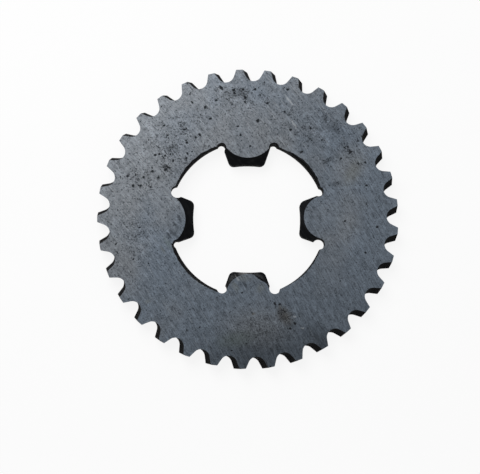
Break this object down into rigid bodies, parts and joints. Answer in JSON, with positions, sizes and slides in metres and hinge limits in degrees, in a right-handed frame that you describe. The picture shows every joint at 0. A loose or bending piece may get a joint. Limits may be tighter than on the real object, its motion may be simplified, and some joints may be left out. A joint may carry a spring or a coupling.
{
  "type": "chain sprocket",
  "caption": "Flat one-piece plate sprocket for a roller chain, with slanted teeth round the rim and bevelled drive lugs with relieved corners inside a large round bore.",
  "frame": {"origin": "on the sprocket's axis, in the plane of the back face, which is the face that it lies on", "axes": "+Z along the axis, from the back face to the bevelled front face; +Y through the middle of one drive lug"},
  "size_m": [0.1363, 0.1364, 0.0072],
  "materials": {
    "ground_steel": "ground faces, dark unfinished edges"
  },
  "bodies": {
    "root": {"sprocket": "ground_steel"}
  },
  "joints": []
}
